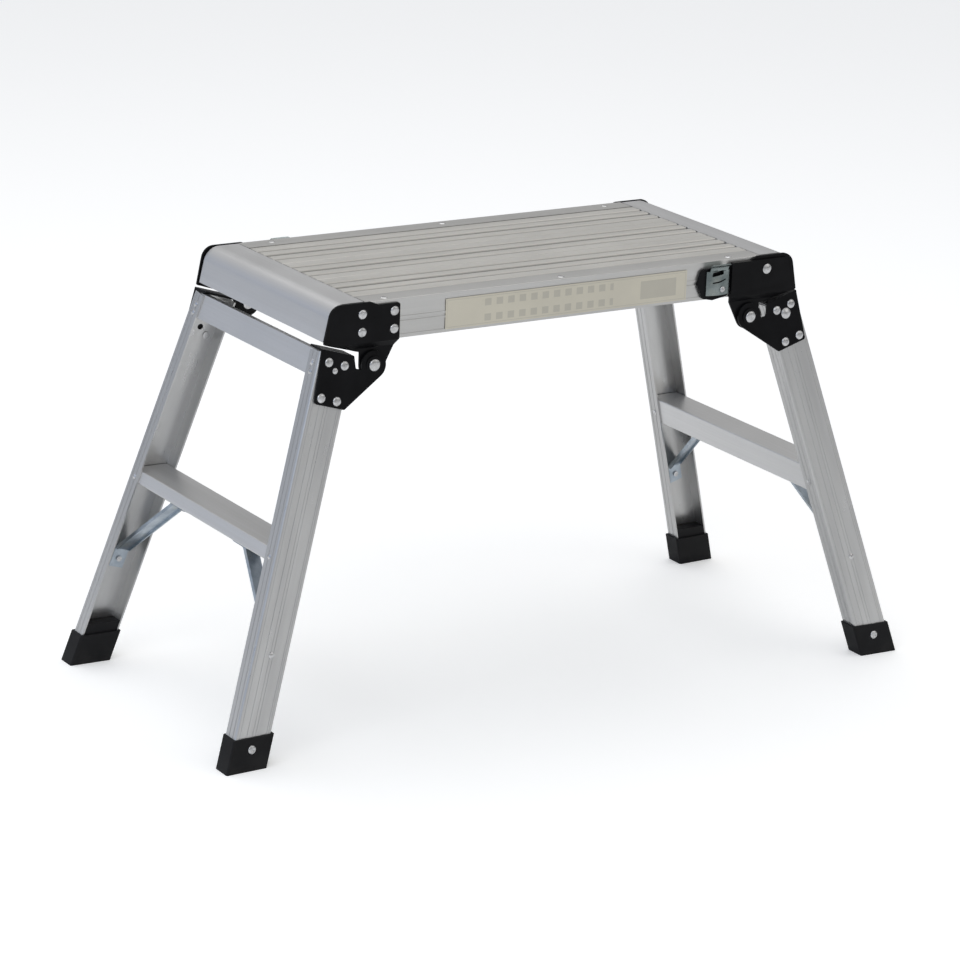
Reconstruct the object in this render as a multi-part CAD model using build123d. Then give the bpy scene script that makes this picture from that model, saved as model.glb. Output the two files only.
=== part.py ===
from build123d import *
import os
from math import cos, radians, sin, sqrt

# Work platform bench, millimetres. X runs along the deck, Y across it, Z up.
# The origin is on the floor, under the middle of the deck.

# Deck
deck_height = 508.0
deck_width = 300.0
plank_half_length = 269.6
plank_pitch = 81.3
plank_gap = 1.3
plank_height = 22.0
plank_skin = 2.4
plank_count = 3
rib_pitch = plank_pitch / 4
side_groove = (7.0, 4.4, 2.6)      # mouth width, floor width, depth
middle_groove = (9.5, 5.6, 4.0)
rail_width = 26.0
rail_height = 46.0
rail_wall = 1.8
rail_bead = 0.8
rail_half_length = 300.0
nosing_wall = 2.2
nosing_drop = 41.5
nosing_bottom_x = 321.5
nosing_slope = 0.2217
nosing_radius = 20.0
bearer_x = 235.0
bearer_width = 42.0
bearer_height = 16.0

# End frames: each stands upright in its own axes, then leans towards the deck
lean = 17.0                        # degrees from vertical, seen from the front
splay = 0.1243                     # outward drift of a leg per unit of its height
leg_centre = 422.5                 # across the leg, in the upright axes
leg_width = 45.0
leg_depth = 22.0
leg_wall = 2.0
leg_top = 342.5
web_at_origin = 192.0              # outer face of the web from the mid plane, at height 0
rung_top_z = 241.0
rung_outer_z = 226.5
rung_inner_z = 206.0
rung_wall = 2.0
brace_low = 312.5
brace_high = 341.3
brace_depth = 13.0
strap_width = 18.0
strap_sheet = 1.8
strap_lip = 4.0
boot_wall = 2.5
boot_top_z = 37.5
boot_core_z = 50.0
boot_step_z = 13.0

# Hinges
plate_sheet = 2.5
pivot_x = 258.0
pivot_z = 435.0
ear_radius = 16.0
ear_outer = 147.1                  # outer face of the ear, from the mid plane
pivot_shank = 4.0
running_gap = 0.05
boss_radius = 10.0
plate_flange = 23.5
locking_drop = 2.2                 # a locking plate reaches this much lower than a plain one

# Lock levers
lever_x = 276.0
lever_z = 492.5
lever_sheet = 2.5
lever_inner = 150.45
pocket_roof = 153.4
axle_shank = 3.0

half_width = deck_width / 2
rail_bottom = deck_height - rail_height
lean_cos = cos(radians(lean))
lean_sin = sin(radians(lean))


def upright(x, z):
    """Position in the upright axes of an end frame, from a position at rest."""
    return (x * lean_cos + z * lean_sin, z * lean_cos - x * lean_sin)


def leaning_x(across, z):
    """X at rest of the point at this place across the leg and this height."""
    return (across - z * lean_sin) / lean_cos


pivot_across, pivot_height = upright(pivot_x, pivot_z)
plate_rivet_spots = [(274.7, 495.0), (274.7, 474.4), (233.5, 495.0), (233.5, 474.4)]
leg_rivet_spots = [(leg_centre + 10.2, 332.4), (leg_centre - 10.8, 332.4),
                   (leg_centre + 10.2, 292.0), (leg_centre - 10.8, 292.0)]
pin_spot = (leg_centre, 324.5)
flange_rivet_heights = [327.4, 317.3, 107.8]
strap_rivet_height = 2.5
strap_rung_y = 76.0
strap_bend_y = 93.0
boot_rivet_height = -104.0


def web_face(height):
    """Distance of the leg web's outer face from the mid plane at a height."""
    return web_at_origin - splay * height


def xz_prism(points, y_low, y_high, radius=0, rounded=None):
    """Closed outline in X and Z, extruded from y_low to y_high."""
    face = make_face(Polyline(*points, close=True))
    if radius:
        spots = rounded or points
        corners = [v for v in face.vertices()
                   if any(abs(v.X - p[0]) + abs(v.Y - p[1]) < 0.01 for p in spots)]
        face = fillet(corners, radius)
    solid = extrude(face, y_high - y_low)
    return Pos(0, y_high, 0) * Rot(90, 0, 0) * solid


def y_rod(x, z, radius, y_low, y_high):
    """Round bar along Y."""
    length = y_high - y_low
    return Pos(x, (y_low + y_high) / 2, z) * Rot(90, 0, 0) * Cylinder(radius, length)


def domed_head(radius, height):
    """Low domed rivet head standing on Z = 0."""
    rim = height * 0.35
    rise = height - rim
    ball = (radius * radius + rise * rise) / (2 * rise)
    head = Pos(0, 0, height / 2) * Cylinder(radius, height)
    return head & (Pos(0, 0, height - ball) * Sphere(ball))


def rivet(head_radius, head_height, shank_radius, grip, tail_radius, tail_height):
    """Rivet along Z: head above Z = 0, grip below it, set tail at the far end."""
    solid = domed_head(head_radius, head_height)
    solid += Pos(0, 0, -grip / 2) * Cylinder(shank_radius, grip)
    if tail_height:
        solid += Pos(0, 0, -grip - tail_height / 2) * Cylinder(tail_radius, tail_height)
    return solid


def facing_front(x, y, z):
    """Location whose local Z points out of the front of the bench."""
    return Location(Plane(origin=(x, y, z), x_dir=(1, 0, 0), z_dir=(0, -1, 0)))


def front_back(solid):
    return mirror(solid, about=Plane.XZ)


def left_right(solid):
    return mirror(solid, about=Plane.YZ)


# ---------------------------------------------------------------- deck

def groove(mouth, floor, depth):
    return Polyline((-mouth / 2, 0.01), (-floor / 2, -depth), (floor / 2, -depth),
                    (mouth / 2, 0.01), close=True)


def plank(centre_y):
    """Ribbed channel plank: a grooved skin with edge walls and two stiffeners."""
    width = plank_pitch - plank_gap
    section = Pos(0, -plank_height / 2) * Rectangle(width, plank_height)
    hollow = width / 3 - plank_skin
    for place in (-1, 0, 1):
        section -= Pos(place * (width - plank_skin) / 3, -plank_height / 2 - 5.2 / 2) * Rectangle(
            hollow, plank_height - 5.2 + 0.02)
    for place in (-1, 0, 1):
        cut = middle_groove if place == 0 else side_groove
        section -= Pos(place * rib_pitch, 0) * make_face(groove(*cut))
    section -= Pos(width / 2, 0) * Rot(0, 0, 45) * Rectangle(1.4, 1.4)
    section -= Pos(-width / 2, 0) * Rot(0, 0, 45) * Rectangle(1.4, 1.4)
    solid = extrude(Plane.YZ * section, plank_half_length, both=True)
    return Pos(0, centre_y, deck_height) * solid


def side_rail():
    """Front rail: a box tube with beads on its face and a tongue at each end."""
    inner = half_width - rail_width
    face = half_width - rail_bead
    section = Pos(-(inner + face) / 2, rail_height / 2) * Rectangle(face - inner, rail_height)
    section -= Pos(-(inner + face) / 2, rail_height / 2) * Rectangle(
        face - inner - 2 * rail_wall, rail_height - 2 * rail_wall)
    for low, high in ((0, 4), (17, 19.4), (22.4, 24.8), (rail_height - 5, rail_height)):
        section += Pos(-face - rail_bead / 2 + 0.05, (low + high) / 2) * Rectangle(
            rail_bead + 0.1, high - low)
    top_corner = section.vertices().sort_by(Axis.X)[:8].sort_by(Axis.Y)[-1]
    section = fillet(top_corner, 0.7)
    solid = extrude(Plane.YZ * section, rail_half_length, both=True)
    solid = Pos(0, 0, rail_bottom) * solid
    tongue_x = plank_half_length
    for side in (-1, 1):
        centre = side * (tongue_x + 40)
        solid -= Pos(centre, -half_width + 20 + rail_wall + rail_bead, deck_height) * Box(80, 40, 200)
        solid -= Pos(centre, -half_width, deck_height) * Box(80, 40, 8)
        solid -= Pos(centre, -half_width, rail_bottom) * Box(80, 40, 6)
    for x, z in plate_rivet_spots:
        solid -= y_rod(-x, z, 3.2, -half_width - 5, -half_width + 8)
    solid -= y_rod(lever_x, lever_z, axle_shank + 0.3, -half_width - 5, -half_width + 8)
    for x in rail_rivet_places:
        solid -= Pos(x, -rail_rivet_y, deck_height - 5) * Cylinder(2.5, 20)
    return solid


def end_nosing():
    """Right-hand nosing: flat top strip, rounded edge and a sloping front, open below."""
    low = deck_height - nosing_drop
    back = plank_half_length + 1.0
    corner_x = nosing_bottom_x - nosing_slope * nosing_drop
    outer = [(back, low), (back, deck_height), (corner_x, deck_height), (nosing_bottom_x, low)]
    wall = nosing_wall
    inner = [(back + wall, low - 1), (back + wall, deck_height - wall),
             (corner_x - wall * 1.3, deck_height - wall),
             (nosing_bottom_x - wall + nosing_slope, low - 1)]
    end = half_width - 2.9
    solid = xz_prism(outer, -end, end, nosing_radius, [outer[2]])
    solid -= xz_prism(inner, -end - 1, end + 1, nosing_radius - wall, [inner[2]])
    lip = [(nosing_bottom_x - 8, low), (nosing_bottom_x - 8, low + wall),
           (nosing_bottom_x - 1.5, low + wall), (nosing_bottom_x - 1.0, low)]
    solid += xz_prism(lip, -end, end)
    for side in (-1, 1):
        solid -= Pos(back + 4, side * end, low + 18) * Box(24, 9, 40)
    return solid


def deck_bearer(centre_x):
    """Cross channel under the planks, between the two rails."""
    length = deck_width - 2 * rail_width - 0.4
    top = deck_height - plank_height
    solid = Pos(centre_x, 0, top - bearer_height / 2) * Box(bearer_width, length, bearer_height)
    solid -= Pos(centre_x, 0, top - bearer_height / 2 - 2) * Box(
        bearer_width - 4, length + 2, bearer_height)
    return solid


def rail_top_rivets():
    """Flat rivets that hold the rails' top flange."""
    flat = Pos(0, 0, -1.6) * Cylinder(2.45, 3.6) + Pos(0, 0, 0.25) * Cone(4.4, 3.4, 0.5)
    group = []
    for x in rail_rivet_places:
        group.append(Pos(x, -rail_rivet_y, deck_height) * flat)
        group.append(Pos(-x, rail_rivet_y, deck_height) * flat)
    return group


def blank_label():
    """Plain sticker along the front rail."""
    return Pos(0, -half_width - 0.18, 482.8) * Box(330, 0.34, 35.5)


rail_rivet_places = [-240.5, -5.0, 230.0]
rail_rivet_y = 140.0


# ---------------------------------------------------------------- platform plates

def plate_outline(drop):
    """Outline of a platform plate in X and Z, its outer edge lowered by the drop."""
    top = deck_height + 0.3
    low_left = (pivot_x + ear_radius, 450.0)
    points = [
        (226.0, 504.0), (254.0, 504.0), (264.0, top), (314.3, top), (323.2, 464.8 - drop),
        (281.5, 452.0 - drop), low_left, (pivot_x + ear_radius, pivot_z),
        (pivot_x, pivot_z - ear_radius), (243.6, 428.0), (226.0, 462.5),
    ]
    face = make_face(Polyline(*points, close=True))

    def at(x, z):
        return [v for v in face.vertices() if abs(v.X - x) + abs(v.Y - z) < 0.01]
    face = fillet(at(314.3, top), 16)
    face = fillet(at(226.0, 504.0) + at(254.0, 504.0) + at(264.0, top), 3)
    face = fillet(at(323.2, 464.8 - drop) + at(281.5, 452.0 - drop), 1.8)
    face = fillet(at(226.0, 462.5), 4)
    face += Pos(pivot_x, pivot_z) * Circle(ear_radius)
    return face


def plate_slab():
    """Sheet seen from the side: flat on the rail, stepped inwards below it."""
    step_top = rail_bottom - 0.5
    step_low = step_top - 8
    ear_inner = ear_outer - plate_sheet
    outer = half_width + plate_sheet
    points = [(-outer, 520), (-half_width, 520), (-half_width, step_top - 0.6), (-ear_inner, step_low),
              (-ear_inner, 400), (-ear_outer, 400), (-ear_outer, step_low + 0.6), (-outer, step_top)]
    face = make_face(Polyline(*points, close=True))
    return extrude(Plane.YZ * face, 340, both=True)


def plain_platform_plate():
    """Front plate without a lock, on the right; mirrored to where it belongs."""
    outline = Pos(0, -130, 0) * Rot(90, 0, 0) * extrude(plate_outline(0), 40)
    solid = outline & plate_slab()
    for x, z in plate_rivet_spots:
        solid -= y_rod(x, z, 3.05, -170, -130)
    solid -= y_rod(pivot_x, pivot_z, pivot_shank + 0.02, -170, -130)
    return solid


def locking_platform_plate():
    """Front right plate, raised over the lock lever."""
    outline = Pos(0, -130, 0) * Rot(90, 0, 0) * extrude(plate_outline(locking_drop), 40)
    solid = outline & plate_slab()
    raised = [(226.0, 504.0), (226.0, 466.5), (306.0, 471.5), (314.0, 477.0), (306.0, 504.0)]
    roof = half_width + plate_sheet + 3.4
    solid += xz_prism(raised, -roof, -half_width, 3, raised[3:]) & outline
    cavity = [(220.0, 501.5), (220.0, 469.3), (303.0, 474.0), (311.0, 479.0), (303.0, 501.5)]
    solid -= xz_prism(cavity, -pocket_roof, -half_width + 1, 3, cavity[3:])
    solid -= y_rod(lever_x, lever_z, axle_shank + 0.02, -170, -130)
    solid -= y_rod(pivot_x, pivot_z, pivot_shank + 0.02, -170, -130)
    return solid


def plate_rivets():
    """Rivets of the plain plates: front left and rear right."""
    one = rivet(5.4, 2.4, 3.0, plate_sheet + rail_wall + rail_bead, 4.4, 1.5)
    group = []
    for x, z in plate_rivet_spots:
        set_rivet = facing_front(-x, -half_width - plate_sheet, z) * one
        group.append(set_rivet)
        group.append(Rot(0, 0, 180) * set_rivet)
    return group


def pivot_rivets():
    """Hinge pins, fixed in the ears; the leg plates turn on them."""
    head_seat = web_face(pivot_height) + plate_sheet + 1.3
    ear_inner = ear_outer - plate_sheet
    one = rivet(6.9, 2.6, pivot_shank, head_seat - ear_inner, 6.5, 2.5)
    group = []
    for x in (-pivot_x, pivot_x):
        pin = facing_front(x, -head_seat, pivot_z) * one
        group.append(pin)
        group.append(front_back(pin))
    return group


# ---------------------------------------------------------------- lock lever

def lock_lever():
    """Front right lever: grip plate at one end, catch nose at the other."""
    points = [(184.0, 499.5), (178.5, 481.5), (187.0, 464.0), (201.0, 461.0), (222.0, 464.5),
              (224.5, 476.0), (266.0, 481.0), (284.0, 480.5), (291.0, 477.0), (300.0, 478.5),
              (296.0, 488.0), (286.0, 499.0), (268.0, 500.4), (240.0, 499.5)]
    solid = xz_prism(points, -lever_inner - lever_sheet, -lever_inner, 2.0)
    grip_end = [(178.5, 461.0), (178.5, 500.5), (320.0, 500.5), (320.0, 461.0)]
    solid &= xz_prism(grip_end, -170, -130, 15.0, grip_end[:2])
    solid -= y_rod(lever_x, lever_z, axle_shank + running_gap, -170, -130)
    solid -= y_rod(clip_rivet_x, clip_rivet_z, 2.0, -170, -130)
    return solid


clip_rivet_x = 211.7
clip_rivet_z = 474.4


def thumb_clip():
    """Bowed zinc-plated leaf on the lever's grip, with a flared lip at the top."""
    seat = lever_inner + lever_sheet + 0.02
    sheet = 1.5
    left, right, bow = 190.5, 223.0, 3.2
    middle = (left + right) / 2
    section = make_face([
        ThreePointArc((left, -seat), (middle, -seat - bow), (right, -seat)),
        Line((right, -seat), (right, -seat - sheet)),
        ThreePointArc((right, -seat - sheet), (middle, -seat - bow - sheet), (left, -seat - sheet)),
        Line((left, -seat - sheet), (left, -seat)),
    ])
    low, high = 467.5, 496.5
    solid = Pos(0, 0, low) * extrude(section, high - low)
    lip_points = [(-seat - 1.2, high - 3), (-seat - 2.2, high + 2), (-seat - 5.5, high + 7.5),
                  (-seat - 9.0, high + 9.5)]
    back_points = [(-seat - 9.4, high + 8.0), (-seat - 6.8, high + 6.4), (-seat - 3.8, high + 1.6),
                   (-seat - 2.8, high - 3)]
    lip_face = make_face([
        Spline(*lip_points), Line(lip_points[-1], back_points[0]),
        Spline(*back_points), Line(back_points[-1], lip_points[0]),
    ])
    lip = Pos(left + 3.5, 0, 0) * extrude(Plane.YZ * lip_face, right - left - 7)
    solid += lip
    window = xz_prism([(196.8, 490.0), (198.0, 495.5), (212.5, 497.5), (213.0, 492.5)], -170, -130, 1.2)
    slit = xz_prism([(198.0, 481.8), (207.0, 482.6), (216.5, 485.4), (216.5, 486.9),
                     (207.0, 484.4), (198.0, 483.4)], -170, -130)
    rounded_top = xz_prism([(left, low), (left, 506.5), (right, 506.5), (right, low)], -175, -130, 8.0,
                           [(left, 506.5), (right, 506.5)])
    solid &= rounded_top
    solid -= window
    solid -= slit
    solid -= y_rod(clip_rivet_x, clip_rivet_z, 2.0, -170, -130)
    return solid


def thumb_clip_rivet():
    seat = lever_inner + lever_sheet
    dome = facing_front(clip_rivet_x, -seat - 4.76, clip_rivet_z) * domed_head(3.6, 2.4)
    return dome + y_rod(clip_rivet_x, clip_rivet_z, 1.95, -seat - 5.2, -lever_inner)


def lever_axle():
    """Headed pin on which the lever turns, fixed in the plate and the rail's tongue."""
    head_seat = half_width + plate_sheet + 3.4
    pin = rivet(6.0, 2.6, axle_shank, head_seat - half_width + rail_wall + rail_bead, 4.5, 1.5)
    return facing_front(lever_x, -head_seat, lever_z) * pin


def lever_spring():
    """Return spring of the lever: a flat coil with two short legs, inside the rail's tongue."""
    seat = half_width - rail_wall - rail_bead - 1.6
    ring = y_rod(lever_x, lever_z, 8.0, -seat, -seat + 3.0)
    ring -= y_rod(lever_x, lever_z, 6.3, -seat - 1, -seat + 4)
    leg = Pos(lever_x + 7.2, -seat + 1.5, lever_z - 9) * Box(1.5, 3.0, 18)
    return ring + leg


# ---------------------------------------------------------------- end frames

def leg_axes():
    """Plane on the front leg's web: X across, Y up the leg, Z outwards."""
    slant = sqrt(1 + splay * splay)
    normal = (0, -1 / slant, splay / slant)
    return Plane(origin=(leg_centre, -web_at_origin, 0), x_dir=(1, 0, 0), z_dir=normal)


def slant_length(height):
    return height * sqrt(1 + splay * splay)


def leg_section():
    """Channel section, web outwards, with two shallow bands rolled into the web."""
    section = Pos(0, -leg_depth / 2) * Rectangle(leg_width, leg_depth)
    outer = section.vertices().group_by(Axis.Y)[-1]
    section = fillet(outer, 2.6)
    section -= Pos(0, -leg_depth / 2 - leg_wall) * Rectangle(leg_width - 2 * leg_wall, leg_depth)
    for side in (-1, 1):
        section -= Pos(side * 12.2, 0) * Rectangle(7.4, 0.9)
        section -= Pos(side * 1.9, 0) * Rectangle(0.9, 0.7)
        section -= Pos(side * 17.8, 0) * Rectangle(0.8, 0.7)
        section -= Pos(side * leg_width / 2, -14.5) * Rectangle(0.7, 1.0)
        section -= Pos(side * leg_width / 2, -6.5) * Rectangle(0.7, 1.0)
    return section


def leg_block(section, low, high):
    """Extrude a section of the leg between two heights, in the upright axes."""
    solid = extrude(section, slant_length(high - low))
    tilted = Rot(90, 0, 0) * mirror(solid, about=Plane.XY)
    return leg_axes() * Pos(0, slant_length(low), 0) * tilted


def upright_leg():
    section = leg_section()
    return leg_block(section, -140, leg_top)


def drill_web(solid, across, height, radius):
    """Hole through the web, square to it."""
    spot = leg_axes() * Pos(across - leg_centre, slant_length(height), 0)
    return solid - spot * Cylinder(radius, 20)


def flange_hole(height, radius, side):
    """Hole across one flange of the leg, half way along its depth."""
    y = -web_face(height) + 12.5
    return Pos(leg_centre + side * leg_width / 2, y, height) * Rot(0, 90, 0) * Cylinder(radius, 12)


def stand(solid):
    """Lean an upright front part of the right frame to its place at rest."""
    return Rot(0, -lean, 0) * solid


def above(z):
    return Pos(0, 0, z + 400) * Box(2000, 2000, 800)


def leg():
    solid = upright_leg()
    for across, height in leg_rivet_spots:
        solid = drill_web(solid, across, height, 3.05)
    solid = drill_web(solid, *pin_spot, 3.05)
    solid = drill_web(solid, leg_centre, 300.5, 3.6)
    solid = drill_web(solid, leg_centre, strap_rivet_height, 2.05)
    solid = drill_web(solid, leg_centre, boot_rivet_height, 2.55)
    for height in flange_rivet_heights:
        solid -= flange_hole(height, 2.05, 1)
    solid -= flange_hole(flange_rivet_heights[-1], 2.05, -1)
    return stand(solid) & above(6)


def leg_plate():
    """Hinge plate riveted on the leg, with a flange folded over the leg's end."""
    top = 345.5
    bottom = 284.6
    turn = 16.0
    half = leg_width / 2
    points = [
        (leg_centre + half, top), (leg_centre + 17.0, bottom), (399.5, bottom),
        (pivot_across - turn * 0.767, pivot_height - turn * 0.642), (pivot_across, pivot_height),
        (pivot_across + turn, pivot_height), (pivot_across + 14.5, 332.4), (396.0, 331.6),
        (401.8, top),
    ]
    face = make_face(Polyline(*points, close=True))
    soft = [points[1], points[2], points[7]]
    corners = [v for v in face.vertices() if any(abs(v.X - p[0]) + abs(v.Y - p[1]) < 0.01 for p in soft)]
    face = fillet(corners, 3.0)
    face += Pos(pivot_across, pivot_height) * Circle(turn)
    sheet = Pos(0, -100, 0) * Rot(90, 0, 0) * extrude(face, 100)
    slab = leg_slab(0, plate_sheet, 250, 400)
    solid = sheet & slab
    flange = Pos((401.8 + leg_centre + half) / 2, 0, top - plate_sheet / 2) * Box(
        leg_centre + half - 401.8, 2000, plate_sheet)
    solid += flange & leg_slab(-plate_flange, plate_sheet, 250, 400)
    boss_out = web_face(pivot_height) + plate_sheet + 1.0
    boss_in = ear_outer + 0.5
    solid += y_rod(pivot_across, pivot_height, boss_radius, -boss_out, -boss_in)
    solid -= y_rod(pivot_across, pivot_height, pivot_shank + running_gap, -190, -120)
    solid -= y_rod(pivot_across, pivot_height, boss_radius + 0.5, -boss_in, -120)
    for across, height in leg_rivet_spots + [pin_spot]:
        solid = drill_web(solid, across, height, 3.05)
    return stand(solid)


def leg_slab(inner, outer, low, high):
    """Slab parallel to the front leg's web, between two distances outside its face."""
    box = Pos(0, (slant_length(low) + slant_length(high)) / 2, (inner + outer) / 2) * Box(
        300, slant_length(high - low), outer - inner)
    return leg_axes() * box


def rung():
    """Step of the right frame: a tube with a level tread and a sloping underside."""
    inner_edge = leg_centre - leg_width / 2 + leg_wall + 0.05
    outer_edge = leg_centre + leg_width / 2 - leg_wall - 0.05
    points = [
        (leaning_x(inner_edge, rung_top_z), rung_top_z),
        (leaning_x(outer_edge, rung_top_z), rung_top_z),
        (leaning_x(outer_edge, rung_outer_z), rung_outer_z),
        (leaning_x(inner_edge, rung_inner_z), rung_inner_z),
    ]
    outline = make_face(Polyline(*points, close=True))
    outline = fillet(outline.vertices(), 1.8)
    section = outline - offset(outline, -rung_wall)
    solid = Rot(90, 0, 0) * extrude(section, 220, both=True)
    solid &= between_webs(1.2)
    for side in (-1, 1):
        hole_y = side * (web_face(flange_rivet_heights[-1]) - 12.5)
        spot = Pos(leg_centre, hole_y, flange_rivet_heights[-1]) * Rot(0, 90, 0) * Cylinder(2.05, 80)
        solid -= stand(spot)
        solid -= rung_rivet_spot(side) * Cylinder(2.05, 12)
    return solid


def between_webs(gap):
    """Space between the two webs, short of each by the gap, leaning with the right frame."""
    reach_low = web_face(-160) - leg_wall * sqrt(1 + splay * splay) - gap
    reach_high = web_face(400) - leg_wall * sqrt(1 + splay * splay) - gap
    points = [(-reach_low, -160), (-reach_high, 400), (reach_high, 400), (reach_low, -160)]
    face = make_face(Polyline(*points, close=True))
    return stand(Pos(leg_centre, 0, 0) * extrude(Plane.YZ * face, 60, both=True))


def rung_underside():
    """Middle of the rung's sloping underside, and the slope's direction in X and Z."""
    inner_edge = leg_centre - leg_width / 2 + leg_wall
    outer_edge = leg_centre + leg_width / 2 - leg_wall
    start = Vector(leaning_x(inner_edge, rung_inner_z), 0, rung_inner_z)
    end = Vector(leaning_x(outer_edge, rung_outer_z), 0, rung_outer_z)
    return (start + end) / 2, (end - start).normalized()


def underside_plane(y):
    middle, along = rung_underside()
    normal = Vector(along.Z, 0, -along.X)
    return Plane(origin=(middle.X, y, middle.Z), x_dir=tuple(along), z_dir=tuple(normal))


def rung_rivet_spot(side):
    return Location(underside_plane(side * strap_rung_y))


def top_brace():
    """Cross channel riveted behind the outer flanges of the right frame."""
    outer = leg_centre + leg_width / 2 - leg_wall - 0.05
    height = brace_high - brace_low
    middle = (brace_high + brace_low) / 2
    solid = Pos(outer - brace_depth / 2, 0, middle) * Box(brace_depth, 320, height)
    solid -= Pos(outer - brace_depth / 2 - 2, 0, middle) * Box(brace_depth, 330, height - 4)
    for height in flange_rivet_heights[:2]:
        for side in (-1, 1):
            y = side * (web_face(height) - 12.5)
            solid -= Pos(outer, y, height) * Rot(0, 90, 0) * Cylinder(2.05, 12)
    return stand(solid) & between_webs(0.8)


def strap():
    """Front strap of the right frame: web tab, diagonal run and tab under the rung."""
    low_y = web_face(-9) - leg_wall - 0.3
    bend_height = 15.0
    bend_y = web_face(bend_height) - leg_wall - 0.3
    sheet = strap_sheet
    underside = underside_plane(-strap_rung_y - 4)
    middle = upright(underside.origin.X, underside.origin.Z)
    over_y, over_height = strap_bend_y - 20, middle[1] + 20 * strap_climb(bend_y, bend_height, middle[1])
    outline = [(-low_y, -9), (-bend_y, bend_height), (-over_y, over_height),
               (-over_y, over_height - sheet * 1.3), (-bend_y + sheet + 0.6, bend_height - 0.8),
               (-low_y + sheet, -9)]
    body = extrude(Plane.YZ * make_face(Polyline(*outline, close=True)), strap_width / 2, both=True)
    lips = [(-bend_y + 1.4, bend_height), (-over_y, over_height - sheet),
            (-over_y, over_height - strap_lip - 2), (-bend_y + 6.0, bend_height - 1.0)]
    lip_face = make_face(Polyline(*lips, close=True))
    for side in (-1, 1):
        body += Pos(side * (strap_width - sheet) / 2, 0, 0) * extrude(
            Plane.YZ * lip_face, sheet / 2, both=True)
    solid = stand(Pos(leg_centre, 0, 0) * body)
    solid -= underside * Pos(0, 0, -50 + 0.05) * Box(300, 200, 100)
    tab_length = strap_bend_y + 4 - strap_rung_y + 10
    solid += underside * Pos(0, tab_length / 2 - 18, sheet / 2 + 0.05) * Box(
        strap_width, tab_length, sheet)
    solid -= rung_rivet_spot(-1) * Cylinder(2.05, 30)
    hole = leg_axes() * Pos(0, slant_length(strap_rivet_height), 0) * Cylinder(2.05, 30)
    return solid - stand(hole)


def strap_climb(bend_y, bend_height, top_height):
    """Rise of the strap's diagonal run for each unit across the bench."""
    return (top_height - bend_height) / (bend_y - strap_bend_y)


def boot():
    """Rubber boot of the front right leg: a block around the leg with a core inside it."""
    width = leg_width + 2 * boot_wall
    depth = leg_depth + 2 * boot_wall
    shell_section = Pos(0, -depth / 2 + boot_wall) * Rectangle(width, depth)
    shell_section = fillet(shell_section.vertices(), 2.2)
    shell = stand(leg_block(shell_section, -170, 0))
    shell &= Pos(0, 0, boot_top_z / 2) * Box(2000, 2000, boot_top_z)
    core_section = Pos(0, -leg_depth / 2 - leg_wall / 2 - 0.5) * Rectangle(
        leg_width - 2 * leg_wall - 0.1, leg_depth - leg_wall - 1.2)
    core = stand(leg_block(core_section, -170, 30))
    core &= Pos(0, 0, boot_core_z / 2) * Box(2000, 2000, boot_core_z)
    solid = shell + core
    step_x = leaning_x(leg_centre - width / 2, boot_step_z)
    solid -= Pos(step_x - 50, 0, 0) * Box(100, 2000, 2 * boot_step_z)
    solid -= stand(upright_leg()) & above(6)
    spot = leg_axes() * Pos(0, slant_length(boot_rivet_height), 0)
    solid -= stand(spot * Cylinder(2.55, 14))
    solid -= stand(spot * Pos(0, 0, -leg_wall - 1) * Cylinder(3.8, 2.4))
    return solid


def leg_plate_rivets():
    """Rivets that hold the front right leg plate to the leg."""
    one = rivet(5.3, 2.4, 3.0, plate_sheet + leg_wall, 4.4, 1.5)
    group = []
    for across, height in leg_rivet_spots:
        spot = leg_axes() * Pos(across - leg_centre, slant_length(height), plate_sheet)
        group.append(stand(spot * one))
    return group


def lock_pin():
    """Large-headed catch pin of a locking corner, modelled at the front right."""
    one = rivet(6.5, 3.0, 3.0, plate_sheet + leg_wall, 5.0, 6.0)
    spot = leg_axes() * Pos(pin_spot[0] - leg_centre, slant_length(pin_spot[1]), plate_sheet)
    return stand(spot * one)


def locating_pin():
    """Small pin in the same place on a plain corner, modelled at the front right."""
    one = rivet(3.4, 1.6, 3.0, plate_sheet + leg_wall, 4.0, 1.5)
    spot = leg_axes() * Pos(pin_spot[0] - leg_centre, slant_length(pin_spot[1]), plate_sheet)
    return stand(spot * one)


def frame_rivets():
    """Small rivets of the front half of the right frame: brace, rung and strap."""
    small = rivet(3.6, 1.5, 2.0, leg_wall + 2.15, 2.5, 1.0)
    group = []
    for height in flange_rivet_heights:
        sides = (1, -1) if height < 200 else (1,)
        for side in sides:
            spot = Pos(leg_centre + side * leg_width / 2, -web_face(height) + 12.5, height)
            group.append(stand(spot * Rot(0, 90 * side, 0) * small))
    strap_foot = rivet(3.6, 1.5, 2.0, leg_wall + strap_sheet + 1.0, 3.4, 1.4)
    spot = leg_axes() * Pos(0, slant_length(strap_rivet_height), 0)
    group.append(stand(spot * strap_foot))
    strap_head = rivet(3.8, 1.6, 2.0, strap_sheet + rung_wall + 0.3, 3.0, 1.0)
    seat = rung_rivet_spot(-1) * Pos(0, 0, strap_sheet + 0.1)
    group.append(seat * strap_head)
    return group


def boot_rivet():
    one = rivet(4.9, 1.8, 2.5, boot_wall + leg_wall, 3.6, 1.5)
    spot = leg_axes() * Pos(0, slant_length(boot_rivet_height), boot_wall)
    return stand(spot * one)


# ---------------------------------------------------------------- all nodes

def half_turn_pair(solid):
    """The same front right part, turned half a turn to the rear left."""
    return Rot(0, 0, 180) * solid


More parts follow.
